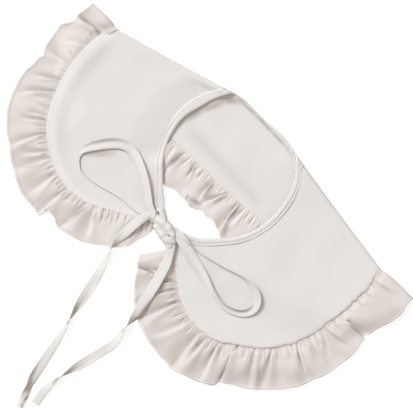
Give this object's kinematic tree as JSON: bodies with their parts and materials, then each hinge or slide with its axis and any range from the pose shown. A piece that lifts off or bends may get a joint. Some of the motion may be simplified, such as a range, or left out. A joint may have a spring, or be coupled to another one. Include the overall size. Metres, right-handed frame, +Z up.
{
  "type": "ruffled collar",
  "caption": "Detachable cloth collar laid flat and folded at the shoulders, with a gathered ruffle round its hem, a bound neck and narrow ties in a bow.",
  "frame": {"origin": "centre of the bounding box in X and Y, on the surface that the collar lies on", "axes": "+X across the collar towards its right front as seen, +Y towards the back of the neck, +Z up from the surface"},
  "size_m": [0.4444, 0.3774, 0.0148],
  "materials": {
    "body_cloth": "matt off-white plain weave",
    "ruffle_cloth": "thin matt off-white voile with a narrow hem",
    "tie_cloth": "off-white folded bias strip"
  },
  "bodies": {
    "root": {"collar_body": "body_cloth", "ruffle_left": "ruffle_cloth", "ruffle_back": "ruffle_cloth", "ruffle_right": "ruffle_cloth", "neck_binding": "tie_cloth", "knot": "tie_cloth", "loop_left": "tie_cloth", "loop_right": "tie_cloth", "tail_left": "tie_cloth", "tail_right": "tie_cloth"}
  },
  "joints": []
}
